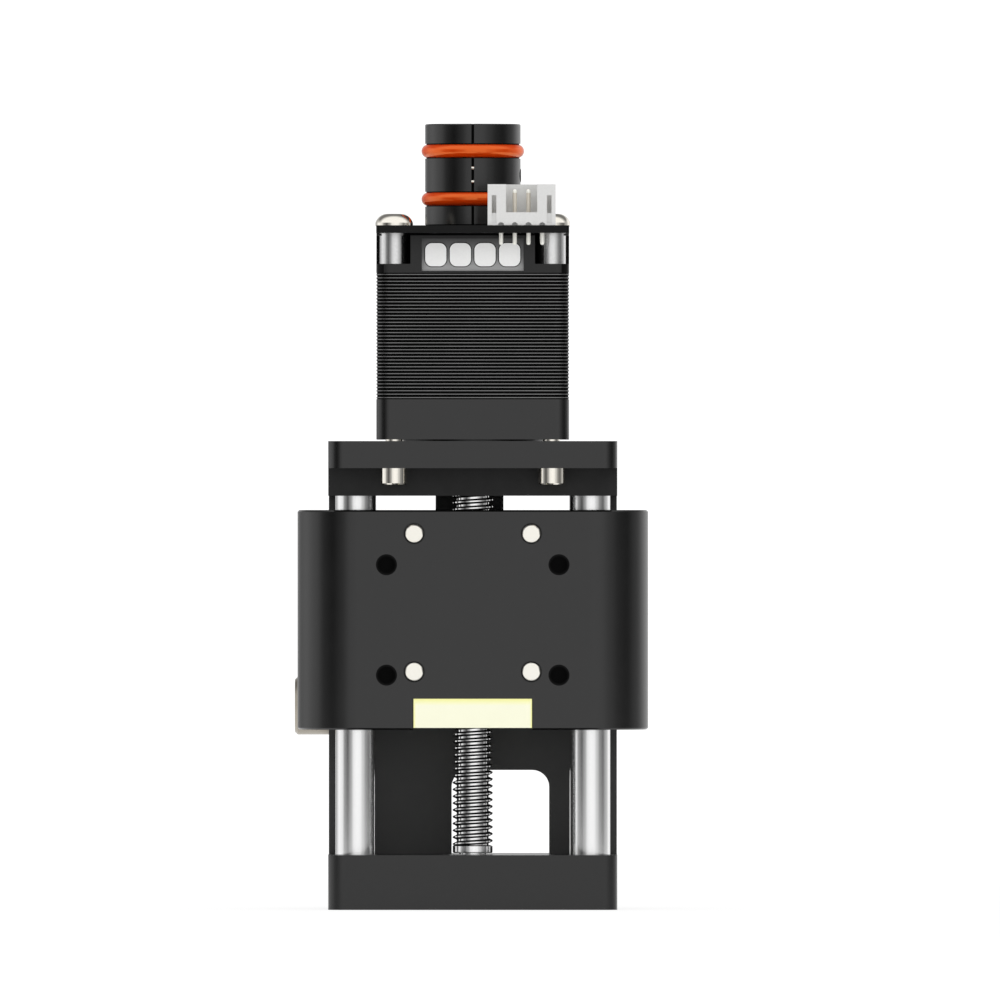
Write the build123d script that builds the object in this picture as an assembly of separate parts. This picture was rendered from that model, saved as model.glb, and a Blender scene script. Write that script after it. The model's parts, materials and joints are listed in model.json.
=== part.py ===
from build123d import *
import math
import os

# Small motorised Z slide: a stepper on top turns a fixed lead screw, and a
# block with a nut climbs it along two guide rods. All sizes are millimetres.
# The origin is on the screw's axis, in the underside of the bottom plate.
# +X is right, +Y is towards the back plate, +Z is up.

# Frame: bottom plate, back plate and top plate
frame_width = 42.3
front_overhang = 14.1
back_overhang = 19.1
plate_corner_r = 2.1
bottom_thickness = 8.0
frame_height = 68.56
top_thickness = 8.0
lip_thickness = 3.96
lip_relief_depth = 5.5
back_thickness = 9.5

# Openings and tapped holes of the back plate
rib_left = 5.47
rib_right = 4.50
window_side_wall = 1.15
lower_window_left = 3.12
lower_window_right = 11.22
lower_window_top_z = 20.28
window_corner_r = 2.5
rear_hole_half_spacing_x = 12.0
rear_hole_above_window = 3.72
rear_hole_spacing_z = 14.0
rear_hole_below_upper_window = 4.0
rear_hole_r = 1.65
rear_hole_depth = 6.5

# Guide rods and the slide block that runs on them
rod_from_side = 4.0
rod_r = 3.0
rod_seat_depth = 7.0
rod_end_chamfer = 0.4
block_half_thickness = 8.55
block_rest_gap = 2.09
block_height = 32.17
block_edge_chamfer = 0.25
bush_r = 6.0
bush_length = 19.0
bush_running_clearance = 0.03
circlip_thickness = 1.0
circlip_radial_depth = 1.0
circlip_gap_angle = 50.0

# Spindle holes and blanking screws on the block's front
spindle_spacing_x = 25.25
spindle_spacing_z = 16.16
spindle_hole_r = 1.54
spindle_hole_depth = 2.5
blanking_below_top = 3.44
blanking_above_bottom = 8.50
blanking_r = 1.465
blanking_length = 6.0

# Lead screw and its nut
screw_r = 2.94
screw_hole_clearance = 1.2
collar_gap = 0.2
lower_journal_r = 2.0
lower_journal_end_gap = 0.2
bearing_relief_depth = 0.5
upper_shaft_r = 2.5
shaft_chamfer = 0.3
thread_top_below_frame = 4.56
shaft_top_below_knob = 2.04
nut_running_clearance = 0.06
nut_flange_width = 17.34
nut_flange_height = 4.26
nut_flange_inset = 0.28
nut_body_r = 4.6
nut_height = 19.0
nut_seat_clearance = 0.1
nut_screw_half_spacing = 6.4
nut_screw_r = 1.0
nut_screw_length = 9.0
nut_screw_head_r = 1.6
nut_screw_head_height = 1.6
nut_screw_socket_r = 0.86

# Ball bearings: outside and width of the three
lower_bearing_r = 4.5
lower_bearing_width = 4.0
motor_bearing_r = 5.5
motor_bearing_width = 3.0
bearing_inner_wall = 0.9
bearing_race_gap = 0.3
bearing_shoulder = 1.0
bearing_seat_wall = 1.2

# Motor: a square hybrid stepper, from the front cap up
motor_side = 28.2
motor_corner_r = 1.9
motor_seat_gap = 0.25
front_cap_height = 5.86
boss_r = 10.25
boss_depth = 2.0
boss_clearance = 0.05
lamination_count = 37
lamination_pitch = 0.5
lamination_thickness = 0.15
lamination_groove_depth = 0.12
lamination_rim = 0.6
rear_cap_height = 5.45
cap_notch = 5.0
cap_notch_depth = 4.15
cap_notch_r = 1.0
cap_land_height = 0.3
cap_land_inset = 0.8
motor_hole_half_spacing = 11.5
slot_r = 11.5
stator_bore_r = 7.4
pole_count = 8
pole_neck_width = 2.4
pole_shoe_thickness = 1.0
pole_shoe_width = 4.4
coil_width = 5.0
coil_inner_r = 8.9
coil_outer_r = 11.1
coil_overhang = 1.7
coil_wrap_clearance = 0.1
coil_end_gap = 0.3
rotor_r = 7.1
rotor_cup_length = 7.5
rotor_magnet_length = 1.5
rotor_magnet_inset = 1.0
rotor_tooth_count = 50
rotor_tooth_depth = 0.35
motor_shaft_hole_r = 3.4
preload_washer_thickness = 0.3
preload_washer_clearance = 0.1

# Screws
m3_shank_r = 1.45
m3_hole_r = 1.6
m3_cap_head_r = 2.75
m3_cap_head_height = 3.0
m3_cap_socket_r = 1.4
m3_button_head_height = 1.72
m3_button_socket_r = 1.15
mount_screw_r = 1.25
mount_screw_head_r = 2.0
mount_screw_head_height = 2.4
mount_screw_socket_r = 1.05
mount_screw_length = 9.4
long_screw_tip_above_cap_face = 3.2
screw_end_gap = 0.2
side_screw_above_window = 9.42
side_screw_r = 2.45
side_screw_length = 12.0
side_screw_hole_depth = 13.0
side_screw_head_r = 4.25
side_screw_head_height = 5.0
side_screw_socket_r = 2.3
hole_clearance = 0.15
head_pocket_clearance = 0.25
frame_screw_from_side = 3.55
frame_screw_length = 14.0
frame_thread_spare = 1.25

# Connection board, its spacers, connector and coil terminals
board_thickness = 1.1
board_front_overhang = 5.0
board_corner_r = 0.5
board_shaft_hole_r = 4.0
spacer_r = 2.1
spacer_height = 4.5
connector_x = 7.15
connector_edge_gap = 0.2
connector_width = 9.93
connector_depth = 4.5
connector_height = 6.0
connector_wall = 0.6
connector_floor = 1.4
connector_slot_width = 4.55
connector_slot_floor = 1.9
connector_foot_notch_r = 0.45
end_slit_width = 0.67
end_slit_low = 1.8
end_slit_high = 4.4
end_recess_low = 0.3
end_recess_depth = 0.25
pin_count = 4
pin_pitch = 2.0
pin_side = 0.64
pin_tip_chamfer = 0.15
pin_hole_clearance = 0.05
pin_tip_above_board = 5.3
pin_tail_below_board = 1.74
terminal_recess_width = 14.9
terminal_recess_height = 4.72
terminal_recess_depth = 1.9
terminal_frame_thickness = 1.4
terminal_recess_above_cap_floor = 0.28
pad_count = 4
pad_width = 3.1
pad_height = 3.4
pad_pitch = 3.6
pad_thickness = 0.45
pad_corner_r = 1.0
pad_pocket_margin = 0.12
pad_pocket_depth = 0.2

# Hand knob on the shaft's upper end, with two rubber grip rings
knob_r = 7.0
knob_bottom_gap = 0.1
knob_height = 14.87
knob_chamfer = 0.15
knob_slit = 0.4
knob_slit_depth = 2.2
knob_bore_clearance = 0.02
groove_width = 2.2
lower_groove_above_bottom = 2.77
upper_groove_above_bottom = 9.81
grip_ring_section_r = 1.0
grip_ring_outer_r = 7.52
grip_ring_seat_r = 6.2
set_screw_above_bottom = 7.35
set_screw_r = 0.95
set_screw_tip_x = 7.07
set_screw_socket_r = 0.5
set_screw_socket_depth = 1.4

# How far a cutting shape runs on past the face it cuts
overrun = 4.0

# Levels and places worked out from the sizes above
half_width = frame_width / 2
back_face_y = back_overhang
back_front_y = back_overhang - back_thickness
top_plate_z = frame_height - top_thickness
lip_underside_z = frame_height - lip_thickness
relief_wall_y = -front_overhang + lip_relief_depth
frame_screw_x = half_width - frame_screw_from_side
frame_screw_y = (back_front_y + back_face_y) / 2
upper_window_half_width = frame_screw_x - m3_shank_r - window_side_wall
rear_hole_low_z = lower_window_top_z + rear_hole_above_window
rear_hole_high_z = rear_hole_low_z + rear_hole_spacing_z
upper_window_floor_z = rear_hole_high_z + rear_hole_below_upper_window
side_screw_z = lower_window_top_z + side_screw_above_window
rod_half_spacing = half_width - rod_from_side
block_top_z = top_plate_z - block_rest_gap
block_bottom_z = block_top_z - block_height
block_mid_z = (block_top_z + block_bottom_z) / 2
blanking_half_spacing_x = rod_half_spacing / 2
blanking_high_z = block_top_z - blanking_below_top
blanking_low_z = block_bottom_z + blanking_above_bottom
bush_bottom_z = block_mid_z - bush_length / 2
nut_bottom_z = block_bottom_z + nut_flange_inset
nut_seat_z = nut_bottom_z + nut_flange_height
cap_z = frame_height + motor_seat_gap
stack_z = cap_z + front_cap_height
stack_height = lamination_count * lamination_pitch
rear_cap_z = stack_z + stack_height
rear_cap_top_z = rear_cap_z + rear_cap_height
notch_floor_z = rear_cap_top_z - cap_notch_depth
board_z = notch_floor_z + spacer_height
board_top_z = board_z + board_thickness
board_front_y = -motor_side / 2 - board_front_overhang
connector_y = board_front_y + connector_depth / 2 + connector_edge_gap
terminal_face_y = -motor_side / 2 + terminal_recess_depth - terminal_frame_thickness
terminal_floor_z = rear_cap_z + terminal_recess_above_cap_floor
terminal_mid_z = terminal_floor_z + terminal_recess_height / 2
knob_z = board_top_z + knob_bottom_gap
knob_top_z = knob_z + knob_height
shaft_top_z = knob_top_z - shaft_top_below_knob
thread_top_z = frame_height - thread_top_below_frame
lower_bearing_z = bottom_thickness - lower_bearing_width
screw_collar_bottom_z = bottom_thickness + collar_gap
front_coil_floor_z = stack_z - coil_overhang - coil_end_gap
rear_coil_roof_z = rear_cap_z + coil_overhang + coil_end_gap
front_bearing_z = front_coil_floor_z - motor_bearing_width
rear_bearing_z = rear_cap_z + coil_overhang - coil_end_gap
rotor_length = 2 * rotor_cup_length + rotor_magnet_length
rotor_z = stack_z + (stack_height - rotor_length) / 2
long_screw_tip_z = cap_z + long_screw_tip_above_cap_face
motor_corners = [(x, y) for x in (-motor_hole_half_spacing, motor_hole_half_spacing)
                 for y in (-motor_hole_half_spacing, motor_hole_half_spacing)]


# Shape helpers
def block(x0, x1, y0, y1, z0, z1):
    return Pos((x0 + x1) / 2, (y0 + y1) / 2, (z0 + z1) / 2) * Box(x1 - x0, y1 - y0, z1 - z0)


def disc(r, z0, z1, x=0, y=0):
    return Pos(x, y, (z0 + z1) / 2) * Cylinder(r, z1 - z0)


def along_x(r, x0, x1, y, z):
    return Pos((x0 + x1) / 2, y, z) * Rot(0, 90, 0) * Cylinder(r, x1 - x0)


def along_y(r, y0, y1, x, z):
    return Pos(x, (y0 + y1) / 2, z) * Rot(90, 0, 0) * Cylinder(r, y1 - y0)


def plate(x0, x1, y0, y1, z0, z1, r):
    outline = Pos((x0 + x1) / 2, (y0 + y1) / 2, z0) * RectangleRounded(x1 - x0, y1 - y0, r)
    return extrude(outline, z1 - z0)


def prism_along_y(x0, x1, z0, z1, y0, y1, r):
    outline = Plane.XZ * Pos((x0 + x1) / 2, (z0 + z1) / 2) * RectangleRounded(x1 - x0, z1 - z0, r)
    return Pos(0, y0, 0) * extrude(outline, -(y1 - y0))


def ring(r_out, r_in, z0, z1):
    return disc(r_out, z0, z1) - disc(r_in, z0, z1)


def group(solids):
    return Compound(children=list(solids))


def cap_outline(side):
    return RectangleRounded(side, side, motor_corner_r)


# The sheets' corners are cut straight, as deep as the caps' are rounded
def sheet_outline(side):
    square = Rectangle(side, side)
    return chamfer(square.vertices(), motor_corner_r * (2 - math.sqrt(2)))


# Frame
def bottom_plate():
    body = plate(-half_width, half_width, -front_overhang, back_overhang, 0, bottom_thickness,
                 plate_corner_r)
    for side in (-1, 1):
        body -= disc(rod_r, bottom_thickness - rod_seat_depth, bottom_thickness,
                     side * rod_half_spacing, 0)
        body -= disc(m3_hole_r, 0, bottom_thickness, side * frame_screw_x, frame_screw_y)
        body -= disc(m3_cap_head_r + head_pocket_clearance, 0,
                     m3_cap_head_height + head_pocket_clearance, side * frame_screw_x, frame_screw_y)
    body -= disc(lower_bearing_r, lower_bearing_z, bottom_thickness)
    body -= disc(lower_bearing_r - bearing_shoulder, lower_bearing_z - bearing_relief_depth,
                 lower_bearing_z)
    return body


def back_plate():
    body = block(-half_width, half_width, back_front_y, back_face_y, bottom_thickness, top_plate_z)
    upper_z = (upper_window_floor_z, top_plate_z + overrun)
    body -= prism_along_y(-upper_window_half_width, -rib_left, *upper_z,
                          back_front_y, back_face_y, window_corner_r)
    body -= prism_along_y(rib_right, upper_window_half_width, *upper_z,
                          back_front_y, back_face_y, window_corner_r)
    body -= prism_along_y(-lower_window_left, lower_window_right, bottom_thickness - overrun,
                          lower_window_top_z, back_front_y, back_face_y, window_corner_r)
    for x in (-rear_hole_half_spacing_x, rear_hole_half_spacing_x):
        for z in (rear_hole_low_z, rear_hole_high_z):
            body -= along_y(rear_hole_r, back_face_y - rear_hole_depth, back_face_y, x, z)
    body -= along_x(side_screw_r, -half_width, -half_width + side_screw_hole_depth, frame_screw_y,
                    side_screw_z)
    thread_depth = frame_screw_length - bottom_thickness + m3_cap_head_height + frame_thread_spare
    for side in (-1, 1):
        x = side * frame_screw_x
        body -= disc(m3_shank_r, bottom_thickness, bottom_thickness + thread_depth, x, frame_screw_y)
        body -= disc(m3_shank_r, top_plate_z - thread_depth, top_plate_z, x, frame_screw_y)
    return body


def top_plate():
    body = plate(-half_width, half_width, -front_overhang, back_overhang, top_plate_z, frame_height,
                 plate_corner_r)
    body -= block(-half_width, half_width, -front_overhang, relief_wall_y, top_plate_z,
                  lip_underside_z)
    body -= disc(boss_r + boss_clearance, frame_height - boss_depth - boss_clearance, frame_height)
    body -= disc(screw_r + screw_hole_clearance, top_plate_z, frame_height)
    for side in (-1, 1):
        body -= disc(rod_r, top_plate_z, top_plate_z + rod_seat_depth, side * rod_half_spacing, 0)
        x = side * frame_screw_x
        body -= disc(m3_hole_r, top_plate_z, frame_height, x, frame_screw_y)
        pocket_z = frame_height - m3_cap_head_height - head_pocket_clearance
        body -= disc(m3_cap_head_r + head_pocket_clearance, pocket_z, frame_height, x, frame_screw_y)
    for x, y in motor_corners:
        body -= disc(mount_screw_r + hole_clearance, top_plate_z, frame_height, x, y)
        if y > 0:
            body -= disc(mount_screw_head_r + head_pocket_clearance, top_plate_z, lip_underside_z, x, y)
    return body


def guide_rod(side):
    rod = disc(rod_r, bottom_thickness - rod_seat_depth, top_plate_z + rod_seat_depth)
    rod = chamfer(rod.edges(), rod_end_chamfer)
    return Pos(side * rod_half_spacing, 0, 0) * rod


# Screws with their heads up or down
def cap_screw(shank_r, length, head_r, head_height, socket_r):
    shank = disc(shank_r, -length, 0)
    head = disc(head_r, 0, head_height)
    head = chamfer(head.edges().group_by(Axis.Z)[-1], head_height * 0.08)
    socket = Pos(0, 0, head_height * 0.45) * extrude(RegularPolygon(socket_r, 6), head_height)
    return shank + head - socket


def button_screw(shank_r, length, head_r, head_height, socket_r):
    flat_r = head_r * 0.5
    profile = Polyline((0, 0), (head_r, 0), (head_r, head_height * 0.25))
    profile += ThreePointArc((head_r, head_height * 0.25), (head_r * 0.82, head_height * 0.72),
                             (flat_r, head_height))
    profile += Polyline((flat_r, head_height), (0, head_height), (0, 0))
    head = revolve(Plane.XZ * make_face(profile), Axis.Z)
    socket = Pos(0, 0, head_height * 0.4) * extrude(RegularPolygon(socket_r, 6), head_height)
    return disc(shank_r, -length, 0) + head - socket


def frame_screw():
    return cap_screw(m3_shank_r, frame_screw_length, m3_cap_head_r, m3_cap_head_height,
                     m3_cap_socket_r)


def top_frame_screws():
    seat_z = frame_height - m3_cap_head_height - head_pocket_clearance
    return group(Pos(s * frame_screw_x, frame_screw_y, seat_z) * frame_screw() for s in (-1, 1))


def bottom_frame_screws():
    seat_z = m3_cap_head_height + head_pocket_clearance
    return group(Pos(s * frame_screw_x, frame_screw_y, seat_z) * Rot(180, 0, 0) * frame_screw()
                 for s in (-1, 1))


def side_screw():
    screw = cap_screw(side_screw_r, side_screw_length, side_screw_head_r, side_screw_head_height,
                      side_screw_socket_r)
    return Pos(-half_width, frame_screw_y, side_screw_z) * Rot(0, -90, 0) * screw


# Ball bearings as an outer ring with its shields, and an inner ring
def bearing_outer(r_out, r_shaft, z0, width):
    return ring(r_out, r_shaft + bearing_inner_wall + bearing_race_gap, z0, z0 + width)


def bearing_inner(r_shaft, z0, width):
    return ring(r_shaft + bearing_inner_wall, r_shaft, z0, z0 + width)


# Motor
def motor_front_cap():
    body = extrude(Pos(0, 0, cap_z) * cap_outline(motor_side), front_cap_height)
    body += disc(boss_r, frame_height - boss_depth, cap_z)
    body -= disc(slot_r, front_coil_floor_z, stack_z)
    body -= disc(motor_bearing_r, front_bearing_z, stack_z)
    body -= disc(motor_shaft_hole_r, frame_height - boss_depth, stack_z)
    for x, y in motor_corners:
        body -= disc(mount_screw_r, cap_z, long_screw_tip_z - screw_end_gap, x, y)
        body -= disc(m3_shank_r, long_screw_tip_z - screw_end_gap, stack_z, x, y)
    return body


def stator_section(side):
    section = sheet_outline(side) - Circle(slot_r)
    shoes = Circle(stator_bore_r + pole_shoe_thickness) - Circle(stator_bore_r)
    neck_in = stator_bore_r + pole_shoe_thickness / 2
    neck_out = slot_r + pole_shoe_thickness / 2
    neck = Pos((neck_in + neck_out) / 2, 0) * Rectangle(neck_out - neck_in, pole_neck_width)
    shoe_cut = Pos(stator_bore_r, 0) * Rectangle(2 * coil_width, pole_shoe_width)
    for index in range(pole_count):
        turn = Rot(0, 0, 360 * index / pole_count)
        section += turn * neck
        section += shoes & (turn * shoe_cut)
    for x, y in motor_corners:
        section -= Pos(x, y) * Circle(m3_hole_r)
    return section


def motor_laminations():
    core = extrude(Pos(0, 0, stack_z) * stator_section(motor_side - 2 * lamination_groove_depth),
                   stack_height)
    rim = sheet_outline(motor_side) - sheet_outline(motor_side - 2 * lamination_rim)
    margin = (lamination_pitch - lamination_thickness) / 2
    sheets = [extrude(Pos(0, 0, stack_z + index * lamination_pitch + margin) * rim, lamination_thickness)
              for index in range(lamination_count)]
    return core + sheets


def motor_windings():
    z0 = stack_z - coil_overhang
    z1 = rear_cap_z + coil_overhang
    half = coil_width / 2
    hole = pole_neck_width / 2 + coil_wrap_clearance
    coil = block(coil_inner_r, coil_outer_r, -half, half, z0, z1)
    coil -= block(coil_inner_r, coil_outer_r, -hole, hole, stack_z - coil_wrap_clearance,
                  rear_cap_z + coil_wrap_clearance)
    return group(Rot(0, 0, 360 * index / pole_count) * coil for index in range(pole_count))


def motor_rear_cap():
    half = motor_side / 2
    land_top_z = rear_cap_top_z + cap_land_height
    body = extrude(Pos(0, 0, rear_cap_z) * cap_outline(motor_side), rear_cap_height)
    body += extrude(Pos(0, 0, rear_cap_top_z) * cap_outline(motor_side - 2 * cap_land_inset),
                    cap_land_height)
    cut = plate(0, cap_notch + overrun, 0, cap_notch + overrun, notch_floor_z, land_top_z, cap_notch_r)
    for quarter in range(4):
        body -= Rot(0, 0, 90 * quarter) * Pos(half - cap_notch, half - cap_notch, 0) * cut
    for x, y in motor_corners:
        body -= disc(m3_hole_r, rear_cap_z, notch_floor_z, x, y)
    body -= disc(slot_r, rear_cap_z, rear_coil_roof_z)
    body += disc(motor_bearing_r + bearing_seat_wall, rear_bearing_z, rear_coil_roof_z)
    body -= disc(motor_bearing_r, rear_bearing_z,
                 rear_bearing_z + motor_bearing_width + preload_washer_thickness)
    body -= disc(motor_shaft_hole_r, rear_bearing_z, land_top_z)
    half_recess = terminal_recess_width / 2
    body -= block(-half_recess, half_recess, -half, -half + terminal_recess_depth, terminal_floor_z,
                  terminal_floor_z + terminal_recess_height)
    return body


def preload_washer():
    z0 = rear_bearing_z + motor_bearing_width
    return ring(motor_bearing_r - preload_washer_clearance, motor_shaft_hole_r + preload_washer_clearance,
                z0, z0 + preload_washer_thickness)


def toothed_cup(z0, phase):
    section = Circle(rotor_r) - Circle(upper_shaft_r)
    tooth_pitch = 360 / rotor_tooth_count
    gap = math.pi * rotor_r / rotor_tooth_count
    slots = [Rot(0, 0, (index + phase) * tooth_pitch) * Pos(rotor_r, 0)
             * Rectangle(2 * rotor_tooth_depth, gap) for index in range(rotor_tooth_count)]
    return extrude(Pos(0, 0, z0) * (section - slots), rotor_cup_length)


def rotor_magnet():
    z0 = rotor_z + rotor_cup_length
    return ring(rotor_r - rotor_magnet_inset, upper_shaft_r, z0, z0 + rotor_magnet_length)


def motor_mount_screws():
    screw = cap_screw(mount_screw_r, mount_screw_length - mount_screw_head_height,
                      mount_screw_head_r, mount_screw_head_height, mount_screw_socket_r)
    return group(Pos(x, y, lip_underside_z) * Rot(180, 0, 0) * screw for x, y in motor_corners)


def motor_long_screws():
    screw = button_screw(m3_shank_r, board_top_z - long_screw_tip_z, m3_cap_head_r,
                         m3_button_head_height, m3_button_socket_r)
    return group(Pos(x, y, board_top_z) * screw for x, y in motor_corners)


# Board on top of the motor
def board_spacers():
    tube = ring(spacer_r, m3_hole_r, notch_floor_z, board_z)
    return group(Pos(x, y, 0) * tube for x, y in motor_corners)


def connection_board():
    half = motor_side / 2
    body = plate(-half, half, board_front_y, half, board_z, board_top_z, board_corner_r)
    body -= disc(board_shaft_hole_r, board_z, board_top_z)
    for x, y in motor_corners:
        body -= disc(m3_hole_r, board_z, board_top_z, x, y)
    side = pin_side / 2 + pin_hole_clearance
    for x in pin_places():
        body -= block(x - side, x + side, connector_y - side, connector_y + side, board_z, board_top_z)
    return body


def pin_places():
    first = connector_x - pin_pitch * (pin_count - 1) / 2
    return [first + index * pin_pitch for index in range(pin_count)]


def connector_housing():
    x0 = connector_x - connector_width / 2
    x1 = connector_x + connector_width / 2
    y0 = connector_y - connector_depth / 2
    y1 = connector_y + connector_depth / 2
    z1 = board_top_z + connector_height
    wall = connector_wall
    body = block(x0, x1, y0, y1, board_top_z, z1)
    body -= block(x0 + wall, x1 - wall, y0 + wall, y1 - wall, board_top_z + connector_floor, z1)
    half_slot = connector_slot_width / 2
    body -= block(connector_x - half_slot, connector_x + half_slot, y0, y0 + wall,
                  board_top_z + connector_slot_floor, z1)
    for x in (x0 + wall, x1 - wall - end_slit_width):
        body -= block(x, x + end_slit_width, y0, y0 + wall, board_top_z + end_slit_low,
                      board_top_z + end_slit_high)
        body -= block(x, x + end_slit_width, y0, y0 + end_recess_depth, board_top_z + end_recess_low,
                      board_top_z + end_slit_low)
    side = pin_side / 2
    for x in pin_places():
        body -= block(x - side, x + side, connector_y - side, connector_y + side, board_top_z,
                      board_top_z + connector_floor)
        body -= along_y(connector_foot_notch_r, y0, y0 + wall, x, board_top_z)
    return body


def connector_pins():
    side = pin_side / 2
    pin = block(-side, side, connector_y - side, connector_y + side, board_z - pin_tail_below_board,
                board_top_z + pin_tip_above_board)
    pin = chamfer(pin.faces().sort_by(Axis.Z)[-1].edges(), pin_tip_chamfer)
    return group(Pos(x, 0, 0) * pin for x in pin_places())


def pads_at(margin, y0, y1):
    width = pad_width / 2 + margin
    height = pad_height / 2 + margin
    pad = prism_along_y(-width, width, terminal_mid_z - height, terminal_mid_z + height, y0, y1,
                        pad_corner_r + margin)
    first = -pad_pitch * (pad_count - 1) / 2
    return [Pos(first + index * pad_pitch, 0, 0) * pad for index in range(pad_count)]


def terminal_frame():
    half = terminal_recess_width / 2
    body = block(-half, half, terminal_face_y, terminal_face_y + terminal_frame_thickness,
                 terminal_floor_z, terminal_floor_z + terminal_recess_height)
    return body - pads_at(pad_pocket_margin, terminal_face_y, terminal_face_y + pad_pocket_depth)


def terminal_pads():
    y1 = terminal_face_y + pad_pocket_depth
    return group(pads_at(0, y1 - pad_thickness, y1))


# Turning parts
def lead_screw():
    journal_z = lower_bearing_z - lower_journal_end_gap
    body = disc(lower_journal_r, journal_z, screw_collar_bottom_z)
    body += disc(screw_r, screw_collar_bottom_z, thread_top_z)
    body += disc(upper_shaft_r, thread_top_z, shaft_top_z)
    return chamfer(body.edges().group_by(Axis.Z)[-1], shaft_chamfer)


def hand_knob():
    body = disc(knob_r, knob_z, knob_top_z)
    body = chamfer(body.edges().filter_by(GeomType.CIRCLE), knob_chamfer)
    for above in (lower_groove_above_bottom, upper_groove_above_bottom):
        z0 = knob_z + above
        body -= ring(knob_r + overrun, grip_ring_seat_r, z0, z0 + groove_width)
    body -= disc(upper_shaft_r + knob_bore_clearance, knob_z, knob_top_z)
    body -= block(-knob_slit / 2, knob_slit / 2, -knob_r - overrun, -knob_r + knob_slit_depth,
                  knob_z, knob_top_z)
    body -= along_x(set_screw_r, 0, knob_r + overrun, 0, knob_z + set_screw_above_bottom)
    return body


def knob_set_screw():
    socket = Rot(0, 90, 0) * extrude(RegularPolygon(set_screw_socket_r, 6), set_screw_socket_depth)
    screw_z = knob_z + set_screw_above_bottom
    body = along_x(set_screw_r, upper_shaft_r, set_screw_tip_x, 0, screw_z)
    return body - Pos(set_screw_tip_x - set_screw_socket_depth, 0, screw_z) * socket


def grip_ring(above):
    middle_r = grip_ring_outer_r - grip_ring_section_r
    z0 = knob_z + above
    round_ring = Pos(0, 0, z0 + groove_width / 2) * Torus(middle_r, grip_ring_section_r)
    return round_ring - disc(grip_ring_seat_r, z0, z0 + groove_width)


# Sliding parts
def slide_block():
    outline = SlotCenterToCenter(2 * rod_half_spacing, 2 * block_half_thickness)
    body = extrude(Pos(0, 0, block_bottom_z) * outline, block_height)
    body = chamfer(body.faces().filter_by(Axis.Z).edges(), block_edge_chamfer)
    for side in (-1, 1):
        x = side * rod_half_spacing
        body -= disc(bush_r, block_bottom_z, block_top_z, x, 0)
        for z in circlip_levels():
            body -= disc(bush_r + circlip_radial_depth / 2, z, z + circlip_thickness, x, 0)
    half_slot = nut_flange_width / 2 + nut_seat_clearance
    body -= block(-half_slot, half_slot, -block_half_thickness - overrun,
                  block_half_thickness + overrun, block_bottom_z, nut_seat_z)
    body -= disc(nut_body_r + nut_seat_clearance, block_bottom_z, block_top_z)
    front_y = -block_half_thickness
    for x in (-spindle_spacing_x / 2, spindle_spacing_x / 2):
        for z in (block_mid_z - spindle_spacing_z / 2, block_mid_z + spindle_spacing_z / 2):
            body -= along_y(spindle_hole_r, front_y, front_y + spindle_hole_depth, x, z)
    for x, z in blanking_places():
        body -= along_y(spindle_hole_r, front_y, front_y + blanking_length, x, z)
    for x in (-nut_screw_half_spacing, nut_screw_half_spacing):
        body -= disc(nut_screw_r, nut_seat_z, nut_bottom_z + nut_screw_head_height + nut_screw_length,
                     x, 0)
    return body


def circlip_levels():
    return (bush_bottom_z - circlip_thickness, bush_bottom_z + bush_length)


def blanking_places():
    return [(x, z) for x in (-blanking_half_spacing_x, blanking_half_spacing_x)
            for z in (blanking_low_z, blanking_high_z)]


def slide_bearing(side):
    tube = ring(bush_r, rod_r + bush_running_clearance, bush_bottom_z, bush_bottom_z + bush_length)
    return Pos(side * rod_half_spacing, 0, 0) * tube


def bearing_circlips():
    reach = bush_r + overrun
    half_gap = reach * math.tan(math.radians(circlip_gap_angle / 2))
    gap = make_face(Polyline((0, 0), (-half_gap, -reach), (half_gap, -reach), (0, 0)))
    clip = ring(bush_r + circlip_radial_depth / 2, bush_r - circlip_radial_depth / 2, 0,
                circlip_thickness)
    clip -= extrude(gap, circlip_thickness)
    return group(Pos(side * rod_half_spacing, 0, z) * clip
                 for side in (-1, 1) for z in circlip_levels())


def lead_nut():
    half = nut_flange_width / 2
    body = block(-half, half, -block_half_thickness, block_half_thickness, nut_bottom_z, nut_seat_z)
    body += disc(nut_body_r, nut_bottom_z, nut_bottom_z + nut_height)
    body -= disc(screw_r + nut_running_clearance, nut_bottom_z, nut_bottom_z + nut_height)
    for x in (-nut_screw_half_spacing, nut_screw_half_spacing):
        body -= disc(nut_screw_r + hole_clearance, nut_bottom_z, nut_seat_z, x, 0)
        body -= disc(nut_screw_head_r + hole_clearance, nut_bottom_z,
                     nut_bottom_z + nut_screw_head_height, x, 0)
    return body


def nut_screws():
    screw = cap_screw(nut_screw_r, nut_screw_length, nut_screw_head_r, nut_screw_head_height,
                      nut_screw_socket_r)
    seat_z = nut_bottom_z + nut_screw_head_height
    return group(Pos(x, 0, seat_z) * Rot(180, 0, 0) * screw
                 for x in (-nut_screw_half_spacing, nut_screw_half_spacing))


def blanking_screws():
    y0 = -block_half_thickness
    return group(along_y(blanking_r, y0, y0 + blanking_length, x, z) for x, z in blanking_places())


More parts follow.
